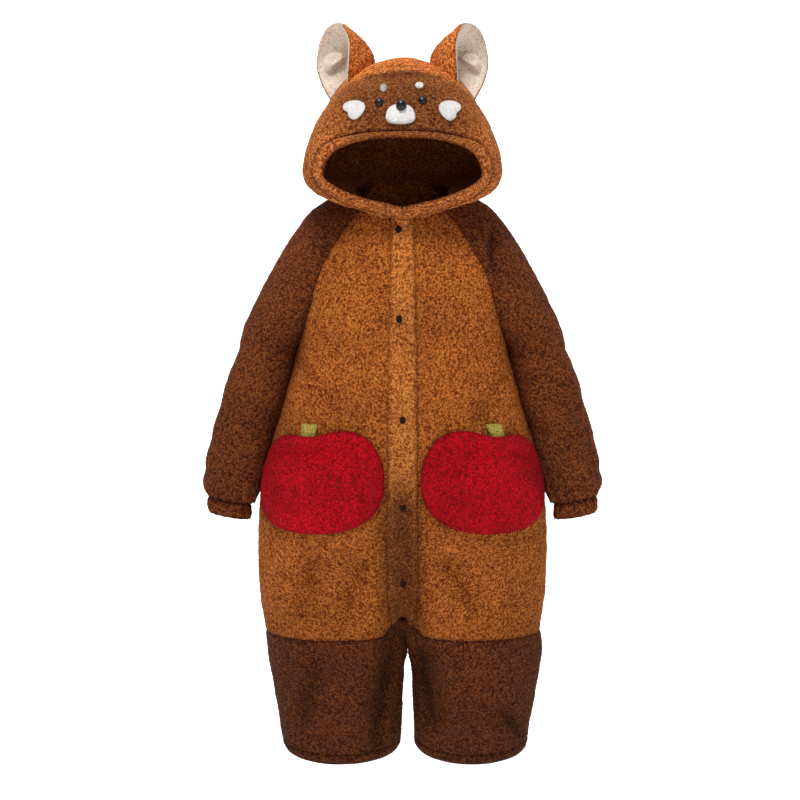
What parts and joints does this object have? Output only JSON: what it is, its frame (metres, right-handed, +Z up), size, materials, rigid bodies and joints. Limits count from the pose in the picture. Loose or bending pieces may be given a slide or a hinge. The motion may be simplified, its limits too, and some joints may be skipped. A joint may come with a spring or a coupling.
{
  "type": "hooded one-piece pyjama suit",
  "caption": "Child's hooded one-piece fleece sleepsuit with raglan sleeves, snap placket, animal ears and face on the hood, and apple-shaped patch pockets, filled out as worn.",
  "frame": {"origin": "middle of the neck opening, where the wearer's shoulders carry the suit", "axes": "+Z up the suit to the hood, +Y to its back, +X to the wearer's left"},
  "size_m": [0.5956, 0.2507, 1.0967],
  "materials": {
    "orange_fleece": "curly teddy fleece, orange brown",
    "brown_fleece": "curly teddy fleece, dark brown",
    "cream_fleece": "curly fleece, cream",
    "red_fleece": "short fleece, red",
    "olive_felt": "felt, olive",
    "white_plush": "short plush, white",
    "black_plastic": "satin black",
    "snap_metal": "dark brown snap caps"
  },
  "bodies": {
    "root": {"front_left": "orange_fleece", "front_right": "orange_fleece", "back_left": "orange_fleece", "back_right": "orange_fleece", "placket": "orange_fleece", "hood_front": "orange_fleece", "hood_back_left": "orange_fleece", "hood_back_right": "orange_fleece", "hood_rim": "orange_fleece", "ear_back_left": "orange_fleece", "ear_back_right": "orange_fleece", "sleeve_left": "brown_fleece", "sleeve_right": "brown_fleece", "cuff_left": "brown_fleece", "cuff_right": "brown_fleece", "leg_front_left": "brown_fleece", "leg_front_right": "brown_fleece", "leg_back_left": "brown_fleece", "leg_back_right": "brown_fleece", "hem_left": "brown_fleece", "hem_right": "brown_fleece", "ear_front_left": "cream_fleece", "ear_front_right": "cream_fleece", "pocket_left": "red_fleece", "pocket_right": "red_fleece", "stem_left": "olive_felt", "stem_right": "olive_felt", "muzzle": "white_plush", "cheek_left": "white_plush", "cheek_right": "white_plush", "brow_left": "white_plush", "brow_right": "white_plush", "nose": "black_plastic", "eye_left": "black_plastic", "eye_right": "black_plastic", "snap_1": "snap_metal", "snap_2": "snap_metal", "snap_3": "snap_metal", "snap_4": "snap_metal", "snap_5": "snap_metal"}
  },
  "joints": []
}
